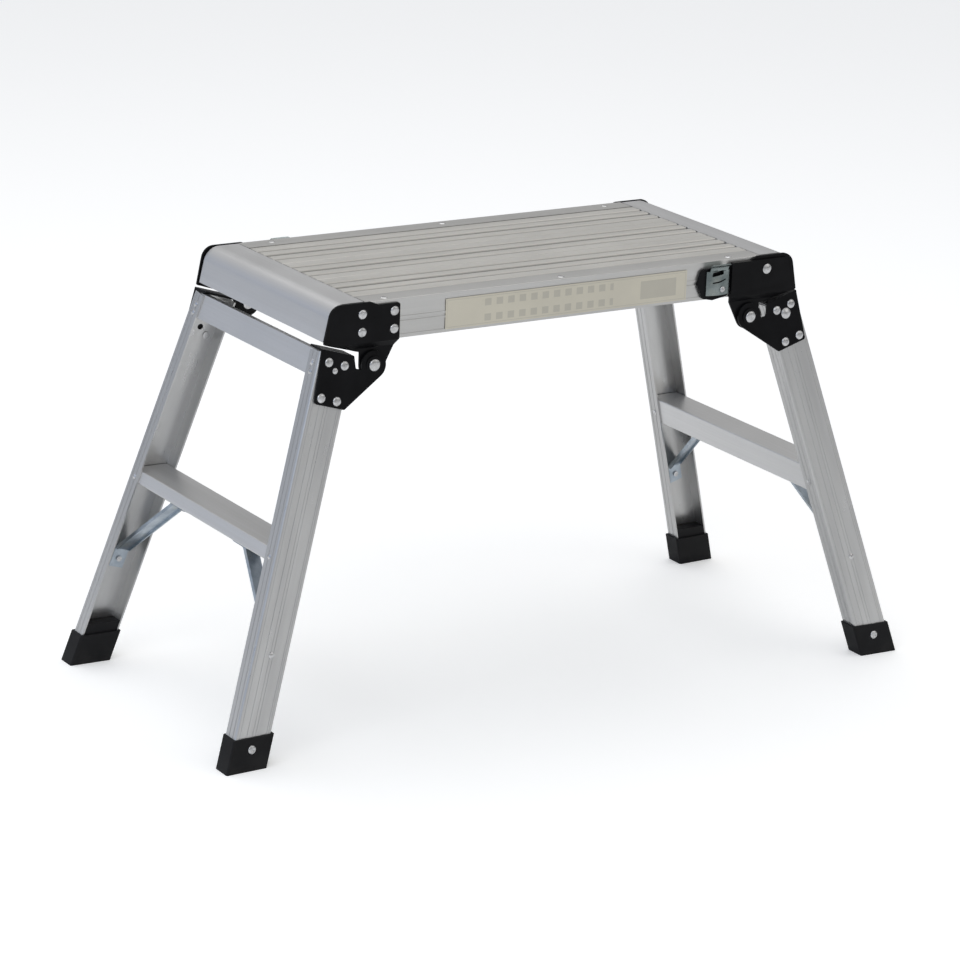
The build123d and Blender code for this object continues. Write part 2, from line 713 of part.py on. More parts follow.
def build():
    nodes = {}
    for name, place in (("front", -1), ("middle", 0), ("rear", 1)):
        nodes["plank_" + name] = plank(place * plank_pitch)
    rail = side_rail()
    nodes["side_rail_front"] = rail
    nodes["side_rail_rear"] = half_turn_pair(rail)
    nosing = end_nosing()
    nodes["end_nosing_right"] = nosing
    nodes["end_nosing_left"] = left_right(nosing)
    for name, centre_x in (("left", -bearer_x), ("middle", 0), ("right", bearer_x)):
        nodes["deck_bearer_" + name] = deck_bearer(centre_x)
    nodes["rail_top_rivets"] = rail_top_rivets()
    nodes["blank_label"] = blank_label()

    plain = left_right(plain_platform_plate())
    locking = locking_platform_plate()
    nodes["platform_plate_front_left"] = plain
    nodes["platform_plate_rear_right"] = half_turn_pair(plain)
    nodes["platform_plate_front_right"] = locking
    nodes["platform_plate_rear_left"] = half_turn_pair(locking)
    nodes["plate_rivets"] = plate_rivets()
    nodes["pivot_rivets"] = pivot_rivets()

    for name, solid in (("lock_lever", lock_lever()), ("thumb_clip", thumb_clip()),
                        ("thumb_clip_rivet", thumb_clip_rivet()), ("lever_axle", lever_axle()),
                        ("lever_spring", lever_spring())):
        nodes[name + "_front"] = solid
        nodes[name + "_rear"] = half_turn_pair(solid)

    singles = {"leg": leg(), "leg_plate": leg_plate(), "strap": strap(), "foot": boot()}
    for name, solid in singles.items():
        nodes[name + "_front_right"] = solid
        nodes[name + "_rear_right"] = front_back(solid)
        nodes[name + "_front_left"] = left_right(solid)
        nodes[name + "_rear_left"] = half_turn_pair(solid)
    for name, solid in (("rung", rung()), ("top_brace", top_brace())):
        nodes[name + "_right"] = solid
        nodes[name + "_left"] = left_right(solid)
    groups = {"leg_plate_rivets": leg_plate_rivets(), "frame_rivets": frame_rivets(),
              "foot_rivets": [boot_rivet()]}
    for name, solids in groups.items():
        right = solids + [front_back(s) for s in solids]
        nodes[name + "_right"] = right
        nodes[name + "_left"] = [left_right(s) for s in right]
    nodes["lock_pin_right"] = lock_pin()
    nodes["lock_pin_left"] = half_turn_pair(lock_pin())
    nodes["locating_pin_left"] = left_right(locating_pin())
    nodes["locating_pin_right"] = front_back(locating_pin())
    return nodes


def main():
    os.makedirs("parts", exist_ok=True)
    for name, shape in build().items():
        if isinstance(shape, list):
            shape = Compound(children=shape)
        export_step(shape, "parts/" + name + ".step")


main()
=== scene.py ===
import math

import bmesh
import bpy
from mathutils import Matrix, Vector


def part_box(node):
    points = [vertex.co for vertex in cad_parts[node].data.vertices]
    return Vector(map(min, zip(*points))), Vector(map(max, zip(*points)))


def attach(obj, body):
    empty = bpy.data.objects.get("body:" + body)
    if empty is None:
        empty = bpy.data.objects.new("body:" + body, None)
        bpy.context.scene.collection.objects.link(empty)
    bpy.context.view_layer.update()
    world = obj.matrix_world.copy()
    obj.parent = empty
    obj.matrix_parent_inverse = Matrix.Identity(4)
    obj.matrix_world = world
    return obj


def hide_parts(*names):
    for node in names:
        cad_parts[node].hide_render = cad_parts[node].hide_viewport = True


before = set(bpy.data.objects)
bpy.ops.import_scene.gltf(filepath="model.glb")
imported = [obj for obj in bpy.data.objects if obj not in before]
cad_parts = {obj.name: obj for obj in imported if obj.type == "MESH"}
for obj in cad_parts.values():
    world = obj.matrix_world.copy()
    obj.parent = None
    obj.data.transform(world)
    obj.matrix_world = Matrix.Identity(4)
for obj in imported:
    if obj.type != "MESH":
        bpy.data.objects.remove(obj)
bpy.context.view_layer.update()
print("frame loaded:", len(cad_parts), "nodes")

leanAngle = math.radians(17.0)    # legs lean this much from vertical, seen from the front
splaySlope = 0.1243               # and drift outwards this much per unit of height


# node helpers

def addNode(tree, kind, place=(0, 0), **values):
    node = tree.nodes.new(kind)
    node.location = place
    for name, value in values.items():
        setattr(node, name, value)
    return node


def newGroup(name, inputs, outputs):
    tree = bpy.data.node_groups.new(name, "ShaderNodeTree")
    for label, kind, value in inputs:
        item = tree.interface.new_socket(name=label, in_out="INPUT", socket_type=kind)
        item.default_value = value
    for label, kind in outputs:
        tree.interface.new_socket(name=label, in_out="OUTPUT", socket_type=kind)
    return tree, addNode(tree, "NodeGroupInput", (-900, 0)), addNode(tree, "NodeGroupOutput", (900, 0))


def mathNode(tree, operation, first, second=None):
    node = addNode(tree, "ShaderNodeMath", operation=operation)
    for index, value in enumerate((first, second)):
        if value is None:
            continue
        if isinstance(value, (int, float)):
            node.inputs[index].default_value = value
        else:
            tree.links.new(value, node.inputs[index])
    return node.outputs[0]


def times(tree, first, second):
    return mathNode(tree, "MULTIPLY", first, second)


def scaled(tree, value, base, amount):
    return mathNode(tree, "ADD", times(tree, value, amount), base)


def asVector(tree, x=None, y=None, z=None):
    node = addNode(tree, "ShaderNodeCombineXYZ")
    for index, value in enumerate((x, y, z)):
        if value is not None:
            tree.links.new(value, node.inputs[index])
    return node.outputs[0]


def mixColour(tree, factor, first, second):
    node = addNode(tree, "ShaderNodeMix", data_type="RGBA", blend_type="MIX")
    for socket, value in ((node.inputs[0], factor), (node.inputs[6], first), (node.inputs[7], second)):
        if isinstance(value, (int, float)):
            socket.default_value = value
        elif isinstance(value, tuple):
            socket.default_value = (*value, 1.0)
        else:
            tree.links.new(value, socket)
    return node.outputs[2]


def noiseAt(tree, vector, scale, detail=3.0, roughness=0.55):
    node = addNode(tree, "ShaderNodeTexNoise")
    tree.links.new(vector, node.inputs["Vector"])
    if isinstance(scale, (int, float)):
        node.inputs["Scale"].default_value = scale
    else:
        tree.links.new(scale, node.inputs["Scale"])
    node.inputs["Detail"].default_value = detail
    node.inputs["Roughness"].default_value = roughness
    return node.outputs["Fac"]


def rampFrom(tree, value, low, high):
    node = addNode(tree, "ShaderNodeMapRange", clamp=True)
    tree.links.new(value, node.inputs["Value"])
    node.inputs["From Min"].default_value = low
    node.inputs["From Max"].default_value = high
    return node.outputs["Result"]


# shared surface effects

def makeDrawnLines():
    # long die lines left by extrusion or rolling, along the local X of the vector given
    tree, start, end = newGroup(
        "drawnLines",
        [("Vector", "NodeSocketVector", (0, 0, 0)), ("Spacing", "NodeSocketFloat", 260.0),
         ("Stretch", "NodeSocketFloat", 0.012)],
        [("Lines", "NodeSocketFloat"), ("Broad", "NodeSocketFloat")])
    split = addNode(tree, "ShaderNodeSeparateXYZ")
    tree.links.new(start.outputs["Vector"], split.inputs[0])
    along = times(tree, split.outputs[0], start.outputs["Stretch"])
    drawn = asVector(tree, along, split.outputs[1], split.outputs[2])
    fine = noiseAt(tree, drawn, start.outputs["Spacing"], 4.0, 0.7)
    tree.links.new(rampFrom(tree, fine, 0.3, 0.7), end.inputs["Lines"])
    broad = noiseAt(tree, drawn, times(tree, start.outputs["Spacing"], 0.14), 2.0)
    tree.links.new(rampFrom(tree, broad, 0.3, 0.7), end.inputs["Broad"])
    return tree


def makeHandling():
    # cloudy handling marks, small specks and rare fine scratches
    tree, start, end = newGroup(
        "handlingMarks",
        [("Vector", "NodeSocketVector", (0, 0, 0)), ("Cloud Scale", "NodeSocketFloat", 14.0),
         ("Speck Scale", "NodeSocketFloat", 420.0)],
        [("Cloud", "NodeSocketFloat"), ("Specks", "NodeSocketFloat"), ("Scratches", "NodeSocketFloat")])
    cloud = noiseAt(tree, start.outputs["Vector"], start.outputs["Cloud Scale"], 5.0, 0.6)
    tree.links.new(rampFrom(tree, cloud, 0.35, 0.7), end.inputs["Cloud"])
    specks = noiseAt(tree, start.outputs["Vector"], start.outputs["Speck Scale"], 2.0)
    tree.links.new(rampFrom(tree, specks, 0.62, 0.74), end.inputs["Specks"])
    turn = addNode(tree, "ShaderNodeMapping")
    turn.inputs["Rotation"].default_value = (0.5, 0.9, 0.4)
    turn.inputs["Scale"].default_value = (6, 260, 260)
    tree.links.new(start.outputs["Vector"], turn.inputs["Vector"])
    lines = noiseAt(tree, turn.outputs[0], 1.0, 2.0)
    tree.links.new(rampFrom(tree, lines, 0.72, 0.8), end.inputs["Scratches"])
    return tree


drawnLines = makeDrawnLines()
handlingMarks = makeHandling()


def placeGroup(tree, group, vector, **values):
    node = addNode(tree, "ShaderNodeGroup")
    node.node_tree = group
    tree.links.new(vector, node.inputs["Vector"])
    for name, value in values.items():
        node.inputs[name].default_value = value
    return node


def newMaterial(name, turn=(0, 0, 0)):
    material = bpy.data.materials.new(name)
    material.use_nodes = True
    tree = material.node_tree
    tree.nodes.clear()
    output = addNode(tree, "ShaderNodeOutputMaterial", (600, 0))
    shader = addNode(tree, "ShaderNodeBsdfPrincipled", (300, 0))
    tree.links.new(shader.outputs[0], output.inputs[0])
    coordinate = addNode(tree, "ShaderNodeTexCoord", (-900, 0))
    mapping = addNode(tree, "ShaderNodeMapping", (-700, 0))
    mapping.inputs["Rotation"].default_value = turn
    tree.links.new(coordinate.outputs["Object"], mapping.inputs["Vector"])
    return material, tree, shader, mapping.outputs[0]


def addBump(tree, shader, height, strength, distance):
    bump = addNode(tree, "ShaderNodeBump")
    bump.inputs["Strength"].default_value = strength
    bump.inputs["Distance"].default_value = distance
    tree.links.new(height, bump.inputs["Height"])
    tree.links.new(bump.outputs[0], shader.inputs["Normal"])


# finishes

def drawnMetal(name, look, turn=(0, 0, 0)):
    material, tree, shader, vector = newMaterial(name, turn)
    lines = placeGroup(tree, drawnLines, vector, **{"Spacing": look["spacing"], "Stretch": look["stretch"]})
    marks = placeGroup(tree, handlingMarks, vector, **{"Cloud Scale": look["cloud"]})
    colour = mixColour(tree, lines.outputs["Broad"], look["dark"], look["light"])
    tint = scaled(tree, lines.outputs["Lines"], 0.0, look["lineTint"])
    colour = mixColour(tree, tint, colour, look["lineColour"])
    colour = mixColour(tree, scaled(tree, marks.outputs["Specks"], 0.0, 0.12), colour, look["speck"])
    if "grooveShadeDepth" in look:
        # painted shade: the colour is darkened down in the grooves and the joints between planks, where shade
        # falls
        height = addNode(tree, "ShaderNodeSeparateXYZ")
        tree.links.new(vector, height.inputs[0])
        top = look["topFace"]
        deep = rampFrom(tree, height.outputs[2], top - 0.0002, top - look["grooveShadeDepth"])
        colour = mixColour(tree, scaled(tree, deep, 0.0, look["grooveShade"]), colour, (0.10, 0.10, 0.095))
    tree.links.new(colour, shader.inputs["Base Color"])
    rough = scaled(tree, lines.outputs["Lines"], look["rough"], 0.07)
    rough = mathNode(tree, "ADD", rough, times(tree, marks.outputs["Cloud"], 0.07))
    rough = mathNode(tree, "ADD", rough, times(tree, marks.outputs["Scratches"], -0.08))
    tree.links.new(rough, shader.inputs["Roughness"])
    shader.inputs["Metallic"].default_value = look["metal"]
    addBump(tree, shader, lines.outputs["Lines"], look["bump"], 0.0002)
    return material


deckLook = {"dark": (0.70, 0.685, 0.645), "light": (0.79, 0.775, 0.74), "lineColour": (0.60, 0.585, 0.55),
            "lineTint": 0.22, "speck": (0.5, 0.48, 0.45), "spacing": 320.0, "stretch": 0.012, "cloud": 11.0,
            "rough": 0.32, "metal": 0.9, "bump": 0.16}
# the planks carry painted shade, darkened down in their grooves and joints
plankLook = dict(deckLook, topFace=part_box("plank_middle")[1][2], grooveShadeDepth=0.0024, grooveShade=0.85)
railLook = dict(deckLook, dark=(0.60, 0.595, 0.58), light=(0.68, 0.675, 0.66), rough=0.28)
nosingLook = dict(deckLook, dark=(0.67, 0.67, 0.67), light=(0.74, 0.74, 0.745), lineColour=(0.58, 0.58, 0.59),
                  rough=0.29)
legLook = dict(deckLook, dark=(0.54, 0.54, 0.54), light=(0.65, 0.65, 0.645), rough=0.25, bump=0.14)
rungLook = dict(deckLook, dark=(0.71, 0.71, 0.71), light=(0.79, 0.79, 0.795), rough=0.28)

alongY = (0, 0, math.radians(-90))
deckMetal = drawnMetal("deckMetal", plankLook)
railMetal = drawnMetal("railMetal", railLook)
nosingMetal = drawnMetal("nosingMetal", nosingLook, alongY)
rungMetal = drawnMetal("rungMetal", rungLook, alongY)
legMetal = {}
for side, sign in (("right", 1), ("left", -1)):
    # turns the leg's own length onto the pattern's X
    legMetal[side] = drawnMetal(side.capitalize() + "LegMetal", legLook,
                                (0, math.radians(90) + sign * leanAngle, 0))


def paintedSteel():
    look = {"deep": (0.004, 0.004, 0.0045), "worn": (0.008, 0.008, 0.009), "rough": 0.27, "bump": 0.10}
    material, tree, shader, vector = newMaterial("blackPlatePaint")
    marks = placeGroup(tree, handlingMarks, vector, **{"Cloud Scale": 26.0, "Speck Scale": 900.0})
    colour = mixColour(tree, marks.outputs["Cloud"], look["deep"], look["worn"])
    colour = mixColour(tree, scaled(tree, marks.outputs["Scratches"], 0.0, 0.35), colour, (0.09, 0.09, 0.09))
    tree.links.new(colour, shader.inputs["Base Color"])
    rough = scaled(tree, marks.outputs["Cloud"], look["rough"], 0.10)
    rough = mathNode(tree, "ADD", rough, times(tree, marks.outputs["Specks"], 0.12))
    tree.links.new(rough, shader.inputs["Roughness"])
    shader.inputs["Specular IOR Level"].default_value = 0.1
    peel = noiseAt(tree, vector, 650.0, 2.0)
    addBump(tree, shader, peel, look["bump"], 0.0003)
    return material


def rivetMetal():
    look = {"dark": (0.50, 0.50, 0.50), "light": (0.78, 0.78, 0.79), "rough": 0.17}
    material, tree, shader, vector = newMaterial("rivetMetal")
    marks = placeGroup(tree, handlingMarks, vector, **{"Cloud Scale": 180.0, "Speck Scale": 1400.0})
    colour = mixColour(tree, marks.outputs["Cloud"], look["dark"], look["light"])
    tree.links.new(colour, shader.inputs["Base Color"])
    rough = scaled(tree, marks.outputs["Cloud"], look["rough"], 0.14)
    tree.links.new(rough, shader.inputs["Roughness"])
    shader.inputs["Metallic"].default_value = 0.95
    addBump(tree, shader, noiseAt(tree, vector, 900.0, 3.0), 0.1, 0.0002)
    return material


strapZinc = {"name": "strapZinc", "dark": (0.38, 0.44, 0.50), "light": (0.58, 0.64, 0.70),
             "warm": (0.60, 0.58, 0.48), "rough": 0.26}
clipZinc = {"name": "clipZinc", "dark": (0.17, 0.20, 0.20), "light": (0.32, 0.36, 0.355),
            "warm": (0.42, 0.42, 0.36), "rough": 0.22}


def zincPlate(look):
    material, tree, shader, vector = newMaterial(look["name"])
    marks = placeGroup(tree, handlingMarks, vector, **{"Cloud Scale": 60.0, "Speck Scale": 1100.0})
    flake = addNode(tree, "ShaderNodeTexVoronoi")
    flake.inputs["Scale"].default_value = 260.0
    tree.links.new(vector, flake.inputs["Vector"])
    colour = mixColour(tree, marks.outputs["Cloud"], look["dark"], look["light"])
    patina = rampFrom(tree, noiseAt(tree, vector, 38.0), 0.56, 0.72)
    colour = mixColour(tree, scaled(tree, patina, 0.0, 0.35), colour, look["warm"])
    tree.links.new(colour, shader.inputs["Base Color"])
    rough = scaled(tree, flake.outputs["Distance"], look["rough"], 0.16)
    tree.links.new(rough, shader.inputs["Roughness"])
    shader.inputs["Metallic"].default_value = 1.0
    addBump(tree, shader, marks.outputs["Specks"], 0.12, 0.0002)
    return material


def footRubber():
    look = {"deep": (0.008, 0.008, 0.009), "dusty": (0.030, 0.029, 0.028), "rough": 0.5}
    material, tree, shader, vector = newMaterial("footRubber")
    marks = placeGroup(tree, handlingMarks, vector, **{"Cloud Scale": 34.0, "Speck Scale": 800.0})
    height = addNode(tree, "ShaderNodeSeparateXYZ")
    tree.links.new(vector, height.inputs[0])
    low = mathNode(tree, "SUBTRACT", 1.0, rampFrom(tree, height.outputs[2], 0.0, 0.022))
    dust = times(tree, marks.outputs["Cloud"], scaled(tree, low, 0.25, 0.6))
    tree.links.new(mixColour(tree, dust, look["deep"], look["dusty"]), shader.inputs["Base Color"])
    tree.links.new(scaled(tree, marks.outputs["Cloud"], look["rough"], 0.18), shader.inputs["Roughness"])
    shader.inputs["Specular IOR Level"].default_value = 0.16
    grain = mathNode(tree, "ADD", noiseAt(tree, vector, 1300.0, 3.0), marks.outputs["Specks"])
    addBump(tree, shader, grain, 0.28, 0.0002)
    return material


def band(tree, value, start, end):
    above = mathNode(tree, "GREATER_THAN", value, start)
    return times(tree, above, mathNode(tree, "LESS_THAN", value, end))


def panelMask(tree, parts, xSpan, zSpan):
    return times(tree, band(tree, parts.outputs[0], *xSpan), band(tree, parts.outputs[2], *zSpan))


def blockMask(tree, parts, look, low, high):
    # two rows of plain blocks
    step = times(tree, mathNode(tree, "ADD", parts.outputs[0], 1.0), 1 / look["blockPitch"])
    height = mathNode(tree, "SUBTRACT", parts.outputs[2], low[2])
    rise = mathNode(tree, "FRACT", times(tree, height, 2 / (high[2] - low[2])))
    blocks = times(tree, band(tree, mathNode(tree, "FRACT", step), *look["blockWide"]),
                   band(tree, rise, *look["blockHigh"]))
    return times(tree, blocks, band(tree, parts.outputs[0], *look["blockSpan"]))


def labelFilm():
    look = {"paper": (0.66, 0.62, 0.51), "faded": (0.60, 0.565, 0.47), "rough": 0.30,
            "ink": (0.25, 0.25, 0.24), "inset": 0.0018, "rule": 0.0006, "blockPitch": 0.0155,
            "blockWide": (0.22, 0.78), "blockHigh": (0.26, 0.72), "blockSpan": (-0.115, 0.062),
            "panelSpan": (0.100, 0.150), "panelMargin": 0.007}
    material, tree, shader, vector = newMaterial("labelFilm")
    marks = placeGroup(tree, handlingMarks, vector, **{"Cloud Scale": 9.0, "Speck Scale": 700.0})
    colour = mixColour(tree, marks.outputs["Cloud"], look["paper"], look["faded"])
    low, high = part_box("blank_label")
    parts = addNode(tree, "ShaderNodeSeparateXYZ")
    tree.links.new(vector, parts.inputs[0])

    def inside(inset):
        return panelMask(tree, parts, (low[0] + inset, high[0] - inset), (low[2] + inset, high[2] - inset))

    # a plain rule around the film, the blocks and one plain panel
    ruled = mathNode(tree, "SUBTRACT", inside(look["inset"]), inside(look["inset"] + look["rule"]))
    margin = look["panelMargin"]
    panel = panelMask(tree, parts, look["panelSpan"], (low[2] + margin, high[2] - margin))
    blocks = blockMask(tree, parts, look, low, high)
    marksOn = mathNode(tree, "MAXIMUM", ruled, mathNode(tree, "MAXIMUM", blocks, panel))
    colour = mixColour(tree, scaled(tree, marksOn, 0.0, 0.30), colour, look["ink"])
    tree.links.new(colour, shader.inputs["Base Color"])
    tree.links.new(scaled(tree, marks.outputs["Cloud"], look["rough"], 0.12), shader.inputs["Roughness"])
    addBump(tree, shader, noiseAt(tree, vector, 90.0, 2.0), 0.12, 0.0004)
    return material


platePaint = paintedSteel()
rivetFinish = rivetMetal()
zincFinish = zincPlate(strapZinc)
clipFinish = zincPlate(clipZinc)
rubberFinish = footRubber()
labelFinish = labelFilm()
print("finishes made")


# finishes onto the CAD nodes

def finishFor(name):
    if "rivet" in name or "pin" in name or name.startswith("lever_axle"):
        return rivetFinish
    if name.startswith(("platform_plate", "leg_plate", "lock_lever")):
        return platePaint
    if name.startswith("leg_"):
        return legMetal["right" if name.endswith("right") else "left"]
    if name.startswith("plank"):
        return deckMetal
    if name.startswith(("side_rail", "deck_bearer")):
        return railMetal
    if name.startswith("end_nosing"):
        return nosingMetal
    if name.startswith(("rung", "top_brace")):
        return rungMetal
    if name.startswith("foot"):
        return rubberFinish
    if name.startswith("blank_label"):
        return labelFinish
    if name.startswith("thumb_clip"):
        return clipFinish
    return zincFinish


for name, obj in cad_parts.items():
    finish = finishFor(name)
    if not obj.material_slots:
        obj.data.materials.append(finish)
    for index in range(len(obj.material_slots)):
        obj.material_slots[index].material = finish
print("finishes on nodes")


# rivets, set by one node tree from the places of the CAD rivets

headShape = {"rimShare": 0.30, "domeShare": 0.70, "domeWidth": 0.985, "crownShare": 0.93, "dimpleReach": 0.36}


def rod(tree, radius, depth, lift, corners):
    bar = addNode(tree, "GeometryNodeMeshCylinder")
    bar.inputs["Vertices"].default_value = corners
    tree.links.new(radius, bar.inputs["Radius"])
    tree.links.new(depth, bar.inputs["Depth"])
    move = addNode(tree, "GeometryNodeTransform")
    tree.links.new(bar.outputs["Mesh"], move.inputs["Geometry"])
    tree.links.new(asVector(tree, z=lift), move.inputs["Translation"])
    return move.outputs[0]


def pressedDome(tree, sizes, rimHeight):
    radius, height = sizes["Head Radius"], sizes["Head Height"]
    width = times(tree, radius, headShape["domeWidth"])
    ball = addNode(tree, "GeometryNodeMeshUVSphere")
    ball.inputs["Segments"].default_value = 36
    ball.inputs["Rings"].default_value = 18
    ball.inputs["Radius"].default_value = 1.0
    shape = addNode(tree, "GeometryNodeTransform")
    size = asVector(tree, width, width, times(tree, height, headShape["domeShare"]))
    tree.links.new(ball.outputs["Mesh"], shape.inputs["Geometry"])
    tree.links.new(size, shape.inputs["Scale"])
    tree.links.new(asVector(tree, z=rimHeight), shape.inputs["Translation"])
    place = addNode(tree, "GeometryNodeInputPosition")
    parts = addNode(tree, "ShaderNodeSeparateXYZ")
    tree.links.new(place.outputs[0], parts.inputs[0])
    across, along, up = parts.outputs
    # the ball's lower half is flattened inside the rim, and its crown is pressed flat
    low = mathNode(tree, "MAXIMUM", up, times(tree, rimHeight, 0.5))
    crown = mathNode(tree, "MINIMUM", low, times(tree, height, headShape["crownShare"]))
    # a blind rivet's crown is sunk in the middle
    squares = [mathNode(tree, "POWER", side, 2.0) for side in (across, along)]
    reach = mathNode(tree, "SQRT", mathNode(tree, "ADD", *squares))
    within = mathNode(tree, "LESS_THAN", reach, times(tree, radius, headShape["dimpleReach"]))
    drop = times(tree, times(tree, within, height), sizes["Dimple"])
    crown = mathNode(tree, "SUBTRACT", crown, drop)
    pressed = addNode(tree, "GeometryNodeSetPosition")
    tree.links.new(shape.outputs[0], pressed.inputs["Geometry"])
    tree.links.new(asVector(tree, across, along, crown), pressed.inputs["Position"])
    smooth = addNode(tree, "GeometryNodeSetShadeSmooth")
    tree.links.new(pressed.outputs[0], smooth.inputs["Geometry"])
    return smooth.outputs[0]


def wholeRivet(tree, sizes):
    rimHeight = times(tree, sizes["Head Height"], headShape["rimShare"])
    rim = rod(tree, sizes["Head Radius"], rimHeight, times(tree, rimHeight, 0.5), 36)
    dome = pressedDome(tree, sizes, rimHeight)
    shank = rod(tree, sizes["Shank Radius"], sizes["Grip"], times(tree, sizes["Grip"], -0.5), 20)
    tailDrop = mathNode(tree, "ADD", sizes["Grip"], times(tree, sizes["Tail Height"], 0.5))
    tail = rod(tree, sizes["Tail Radius"], sizes["Tail Height"], times(tree, tailDrop, -1.0), 28)
    whole = addNode(tree, "GeometryNodeJoinGeometry")
    for piece in (dome, rim, shank, tail):
        tree.links.new(piece, whole.inputs[0])
    return whole.outputs[0]


def standingTurn(tree, seed):
    # each rivet stands along the direction stored on its point, with a random spin
    direction = addNode(tree, "GeometryNodeInputNamedAttribute", data_type="FLOAT_VECTOR")
    direction.inputs["Name"].default_value = "outwards"
    align = addNode(tree, "FunctionNodeAlignRotationToVector", axis="Z")
    tree.links.new(direction.outputs["Attribute"], align.inputs["Vector"])
    spin = addNode(tree, "FunctionNodeRandomValue", data_type="FLOAT")
    spin.inputs[3].default_value = 6.28
    tree.links.new(seed, spin.inputs["Seed"])
    spinTurn = addNode(tree, "FunctionNodeEulerToRotation")
    tree.links.new(asVector(tree, z=spin.outputs[1]), spinTurn.inputs[0])
    turned = addNode(tree, "FunctionNodeRotateRotation", rotation_space="LOCAL")
    tree.links.new(align.outputs[0], turned.inputs["Rotation"])
    tree.links.new(spinTurn.outputs[0], turned.inputs["Rotate By"])
    return turned.outputs[0]


def rivetTree():
    tree = bpy.data.node_groups.new("rivetSet", "GeometryNodeTree")
    face = tree.interface
    face.new_socket(name="Geometry", in_out="INPUT", socket_type="NodeSocketGeometry")
    sizes = {"Head Radius": 0.006, "Head Height": 0.0026, "Shank Radius": 0.003, "Grip": 0.005,
             "Tail Radius": 0.0044, "Tail Height": 0.0015, "Dimple": 0.0}
    for label, value in sizes.items():
        face.new_socket(name=label, in_out="INPUT", socket_type="NodeSocketFloat").default_value = value
    face.new_socket(name="Seed", in_out="INPUT", socket_type="NodeSocketInt").default_value = 7
    face.new_socket(name="Metal", in_out="INPUT", socket_type="NodeSocketMaterial")
    face.new_socket(name="Geometry", in_out="OUTPUT", socket_type="NodeSocketGeometry")
    start = addNode(tree, "NodeGroupInput", (-900, 0))
    end = addNode(tree, "NodeGroupOutput", (1200, 0))
    placed = addNode(tree, "GeometryNodeInstanceOnPoints")
    tree.links.new(start.outputs["Geometry"], placed.inputs["Points"])
    tree.links.new(wholeRivet(tree, start.outputs), placed.inputs["Instance"])
    tree.links.new(standingTurn(tree, start.outputs["Seed"]), placed.inputs["Rotation"])
    real = addNode(tree, "GeometryNodeRealizeInstances")
    tree.links.new(placed.outputs[0], real.inputs[0])
    paint = addNode(tree, "GeometryNodeSetMaterial")
    tree.links.new(real.outputs[0], paint.inputs["Geometry"])
    tree.links.new(start.outputs["Metal"], paint.inputs["Material"])
    tree.links.new(paint.outputs[0], end.inputs[0])
    return tree


def rivetPlaces(nodeName, direction, headHeight):
    # one seat point for each separate rivet of the node; direction gives its outward axis
    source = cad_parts[nodeName].data
    shape = bmesh.new()
    shape.from_mesh(source)
    bmesh.ops.remove_doubles(shape, verts=shape.verts, dist=0.00001)
    waiting = set(shape.verts)
    places = []
    while waiting:
        group, edge = set(), [next(iter(waiting))]
        while edge:
            vert = edge.pop()
            if vert in group:
                continue
            group.add(vert)
            edge.extend(other.other_vert(vert) for other in vert.link_edges)
        waiting -= group
        middle = sum((v.co for v in group), Vector()) / len(group)
        axis = direction(middle).normalized()
        side = axis.orthogonal().normalized()
        across = axis.cross(side)
        spans = []
        for way in (side, across):
            reaches = [v.co.dot(way) for v in group]
            spans.append((min(reaches), max(reaches)))
        seat = max(v.co.dot(axis) for v in group) - headHeight
        places.append((side * sum(spans[0]) / 2 + across * sum(spans[1]) / 2 + axis * seat, axis))
    shape.free()
    places.sort(key=lambda item: tuple(round(c, 4) for c in item[0]))
    return places


def straightOut(middle):
    return Vector((0, math.copysign(1, middle.y), 0))


def outOfWeb(middle):
    # square to the leaning, splayed web that the rivet sits in
    lean = Matrix.Rotation(-math.copysign(leanAngle, middle.x), 3, "Y")
    return lean @ Vector((0, math.copysign(1, middle.y), splaySlope))


def setRivets(pieceName, nodeName, body, look, direction, tree):
    places = rivetPlaces(nodeName, direction, look["headHeight"])
    dots = bpy.data.meshes.new(pieceName + "Points")
    dots.from_pydata([place for place, axis in places], [], [])
    outwards = dots.attributes.new("outwards", "FLOAT_VECTOR", "POINT")
    for index, (place, axis) in enumerate(places):
        outwards.data[index].vector = axis
    obj = bpy.data.objects.new(pieceName, dots)
    bpy.context.scene.collection.objects.link(obj)
    modifier = obj.modifiers.new("rivetSet", "NODES")
    modifier.node_group = tree
    values = {"Head Radius": look["headRadius"], "Head Height": look["headHeight"],
              "Shank Radius": look["shank"], "Grip": look["grip"],
              "Tail Radius": look["tailRadius"], "Tail Height": look["tailHeight"],
              "Dimple": look["dimple"], "Seed": look["seed"], "Metal": rivetFinish}
    for item in tree.interface.items_tree:
        if item.item_type == "SOCKET" and item.in_out == "INPUT" and item.name in values:
            modifier[item.identifier] = values[item.name]
    depsgraph = bpy.context.evaluated_depsgraph_get()
    mesh = bpy.data.meshes.new_from_object(obj.evaluated_get(depsgraph))
    obj.modifiers.remove(modifier)
    obj.data = mesh
    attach(obj, body)
    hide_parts(nodeName)
    return obj


plateRivet = {"headRadius": 0.0054, "headHeight": 0.0024, "shank": 0.0030, "grip": 0.0051,
              "tailRadius": 0.0044, "tailHeight": 0.0015, "dimple": 0.0, "seed": 3}
legPlateRivet = dict(plateRivet, headRadius=0.0053, grip=0.0045, seed=5)
pivotRivet = {"headRadius": 0.0069, "headHeight": 0.0026, "shank": 0.0040, "grip": 0.0088,
              "tailRadius": 0.0065, "tailHeight": 0.0025, "dimple": 0.0, "seed": 9}
footRivet = {"headRadius": 0.0049, "headHeight": 0.0018, "shank": 0.0025, "grip": 0.0045,
             "tailRadius": 0.0036, "tailHeight": 0.0015, "dimple": 0.6, "seed": 11}
rivetNodes = rivetTree()
setRivets("platformPlateRivets", "plate_rivets", "deck", plateRivet, straightOut, rivetNodes)
setRivets("hingePinHeads", "pivot_rivets", "deck", pivotRivet, straightOut, rivetNodes)
